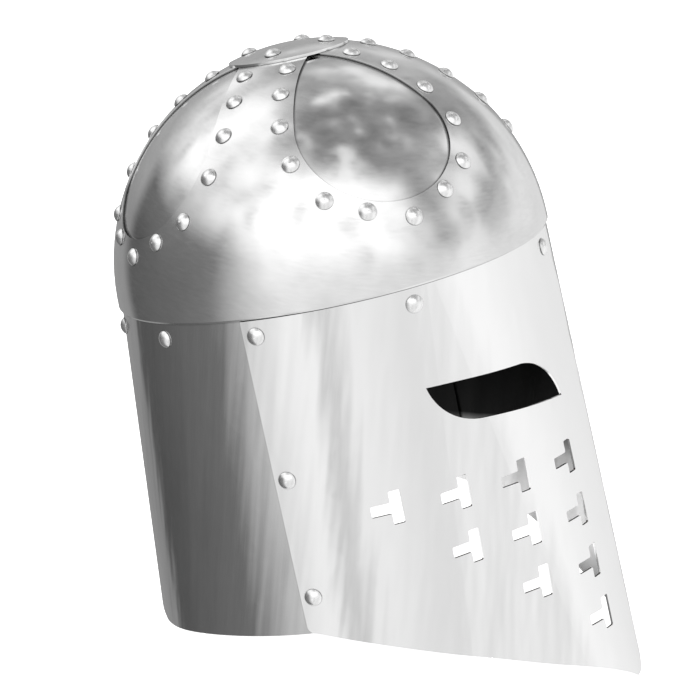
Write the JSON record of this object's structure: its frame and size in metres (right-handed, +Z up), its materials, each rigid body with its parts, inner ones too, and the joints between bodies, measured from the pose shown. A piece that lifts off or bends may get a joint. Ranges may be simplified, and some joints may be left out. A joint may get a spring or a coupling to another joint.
{
  "type": "knight helmet",
  "caption": "Riveted steel great helm: domed framed skull with inset plates, a long pointed face plate with eye slots and T-shaped breaths on its right side, a rear plate, leather liner and chin strap.",
  "frame": {"origin": "on the resting surface, below the middle of the overall box", "axes": "+Z up, the face looks along -Y, the wearer's left is +X; the helmet stands on its rim, its skull leaning back 18.2 degrees"},
  "size_m": [0.2182, 0.2844, 0.2879],
  "materials": {
    "skull_steel": "polished, cloudy",
    "infill_steel": "polished, cloudy",
    "crown_steel": "polished",
    "face_steel": "satin, fine brush lines",
    "rear_steel": "satin, fine brush lines",
    "rivet_steel": "bright, domed",
    "washer_steel": "plain",
    "liner_leather": "dark matt leather",
    "spacer_leather": "dark leather",
    "strap_leather": "dark smooth leather",
    "lace": "round leather lace",
    "pad_cloth": "quilted linen over felt",
    "buckle_steel": "tinned steel"
  },
  "bodies": {
    "helmet": {"skull_frame": "skull_steel", "infill_plate_front_right": "infill_steel", "infill_plate_front_left": "infill_steel", "infill_plate_rear_right": "infill_steel", "infill_plate_rear_left": "infill_steel", "crown_disc": "crown_steel", "face_plate": "face_steel", "rear_plate": "rear_steel", "window_rivets": "rivet_steel", "crown_rivets": "rivet_steel", "brow_rivets": "rivet_steel", "nape_rivets": "rivet_steel", "temple_rivets": "rivet_steel", "side_rivets": "rivet_steel", "liner_band": "liner_leather", "liner_lobe_1": "liner_leather", "liner_lobe_2": "liner_leather", "liner_lobe_3": "liner_leather", "liner_lobe_4": "liner_leather", "liner_lobe_5": "liner_leather", "liner_lobe_6": "liner_leather", "liner_lobe_7": "liner_leather", "liner_lobe_8": "liner_leather", "crown_lace": "lace", "crown_pad": "pad_cloth", "brow_pad": "pad_cloth", "nape_pad": "pad_cloth", "liner_washers": "washer_steel", "temple_washers": "washer_steel", "strap_spacers": "spacer_leather"},
    "chin_strap_right": {"strap_right": "strap_leather"},
    "chin_strap_left": {"strap_left": "strap_leather", "strap_rivet": "buckle_steel"},
    "keeper": {"strap_keeper": "strap_leather"},
    "buckle": {"buckle_frame": "buckle_steel"},
    "prong": {"buckle_prong": "buckle_steel"}
  },
  "joints": [
    {"name": "strap_right_swing", "type": "hinge", "parent": "helmet", "child": "chin_strap_right", "pos_m": [-0.0954, 0.03509, 0.17201], "axis": [1, 0, 0], "range_deg": [-14, 4]},
    {"name": "strap_left_swing", "type": "hinge", "parent": "helmet", "child": "chin_strap_left", "pos_m": [0.0954, 0.03509, 0.17201], "axis": [1, 0, 0], "range_deg": [-14, 4]},
    {"name": "keeper_slide", "type": "slide", "parent": "chin_strap_left", "child": "keeper", "axis": [-0.1908, 0, -0.9816], "range_m": [0, 0.012]},
    {"name": "buckle_hinge", "type": "hinge", "parent": "chin_strap_left", "child": "buckle", "pos_m": [0.08141, 0.03509, 0.07308], "axis": [0, 1, 0], "range_deg": [-12, 60]},
    {"name": "prong_hinge", "type": "hinge", "parent": "buckle", "child": "prong", "pos_m": [0.08141, 0.03509, 0.07308], "axis": [0, 1, 0], "range_deg": [-38, 0]}
  ]
}
